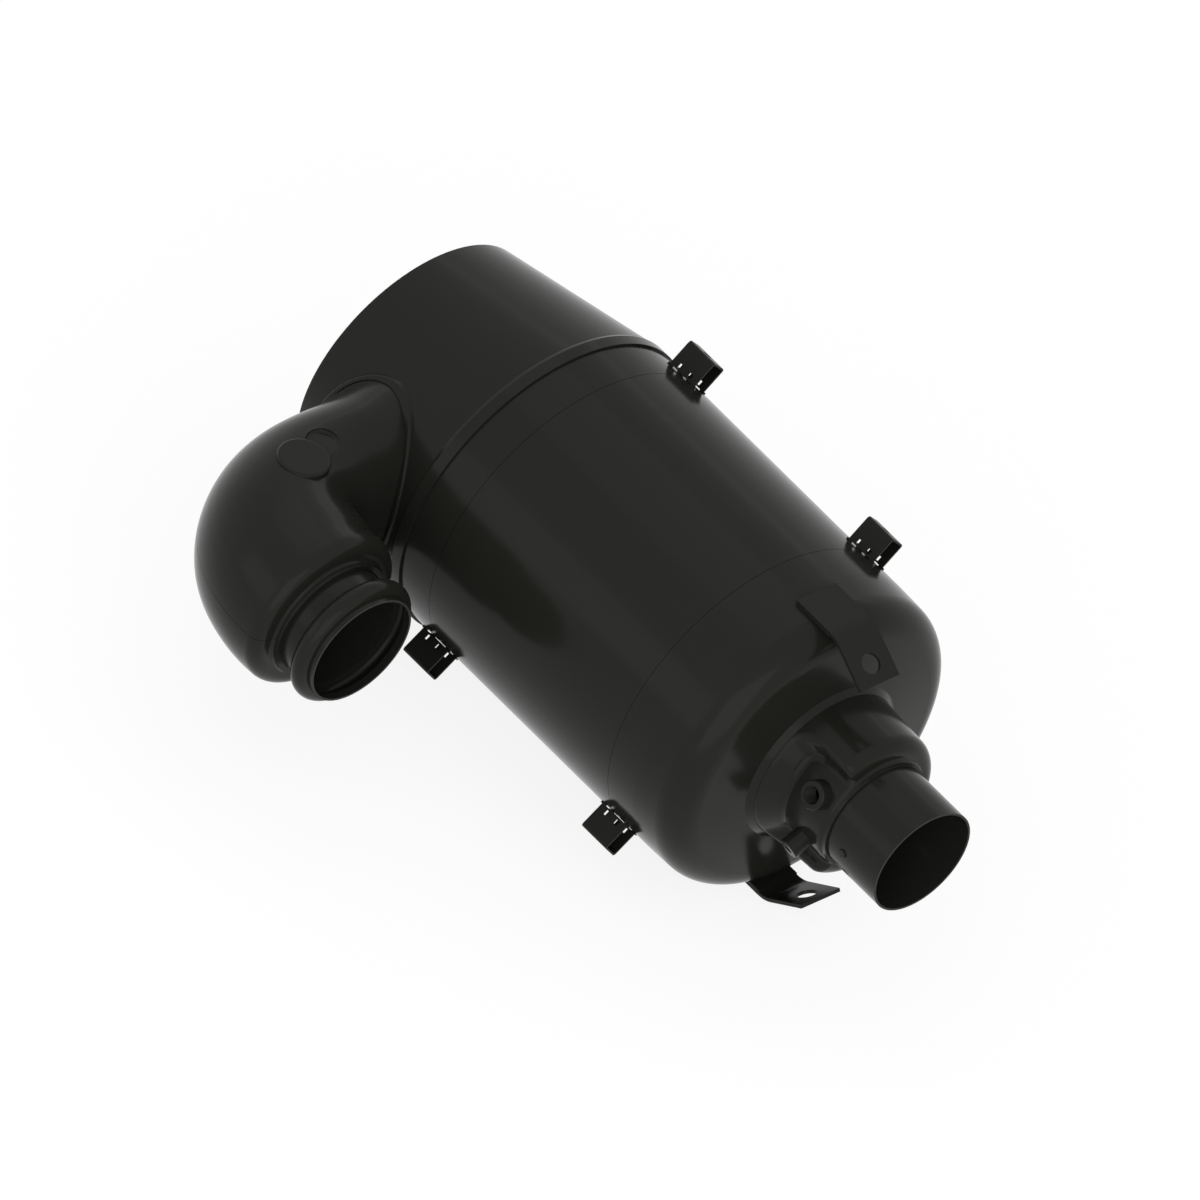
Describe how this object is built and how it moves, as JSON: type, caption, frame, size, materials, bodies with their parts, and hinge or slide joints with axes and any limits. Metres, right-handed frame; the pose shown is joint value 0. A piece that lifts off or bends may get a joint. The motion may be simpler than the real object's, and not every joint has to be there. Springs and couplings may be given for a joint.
{
  "type": "exhaust silencer",
  "caption": "Black coated exhaust canister with a side elbow inlet, a straight outlet pipe, sensor bosses, straps and clip brackets.",
  "frame": {"origin": "centre of the outlet pipe's mouth", "axes": "+X along the canister's axis out of the outlet, +Z square to the plane of the inlet elbow, which reaches towards -Y"},
  "size_m": [0.6679, 0.4971, 0.305],
  "materials": {
    "black_coating": "satin heat resistant coating",
    "steel": "bare stainless sheet",
    "ceramic": "matt fired ceramic",
    "fibre": "pressed fibre mat"
  },
  "bodies": {
    "root": {"brick_spacer": "steel", "clip_bracket_inlet_lower": "black_coating", "clip_bracket_inlet_upper": "black_coating", "clip_bracket_outlet_lower": "black_coating", "clip_bracket_outlet_upper": "black_coating", "core_can": "steel", "elbow_lower_half": "black_coating", "elbow_upper_half": "black_coating", "front_jacket": "black_coating", "inlet_baffle": "steel", "inlet_brick": "ceramic", "inlet_cone": "black_coating", "inlet_core_ring": "steel", "inlet_mat": "fibre", "inlet_saddle": "black_coating", "inlet_spigot": "black_coating", "insulation_blanket": "fibre", "lower_strap": "black_coating", "main_jacket": "black_coating", "outlet_brick": "ceramic", "outlet_core_ring": "steel", "outlet_dome": "black_coating", "outlet_mat": "fibre", "outlet_neck": "black_coating", "outlet_pipe": "black_coating", "pressure_boss": "black_coating", "rear_end_plate": "black_coating", "sensor_boss": "black_coating", "upper_strap": "black_coating"}
  },
  "joints": []
}
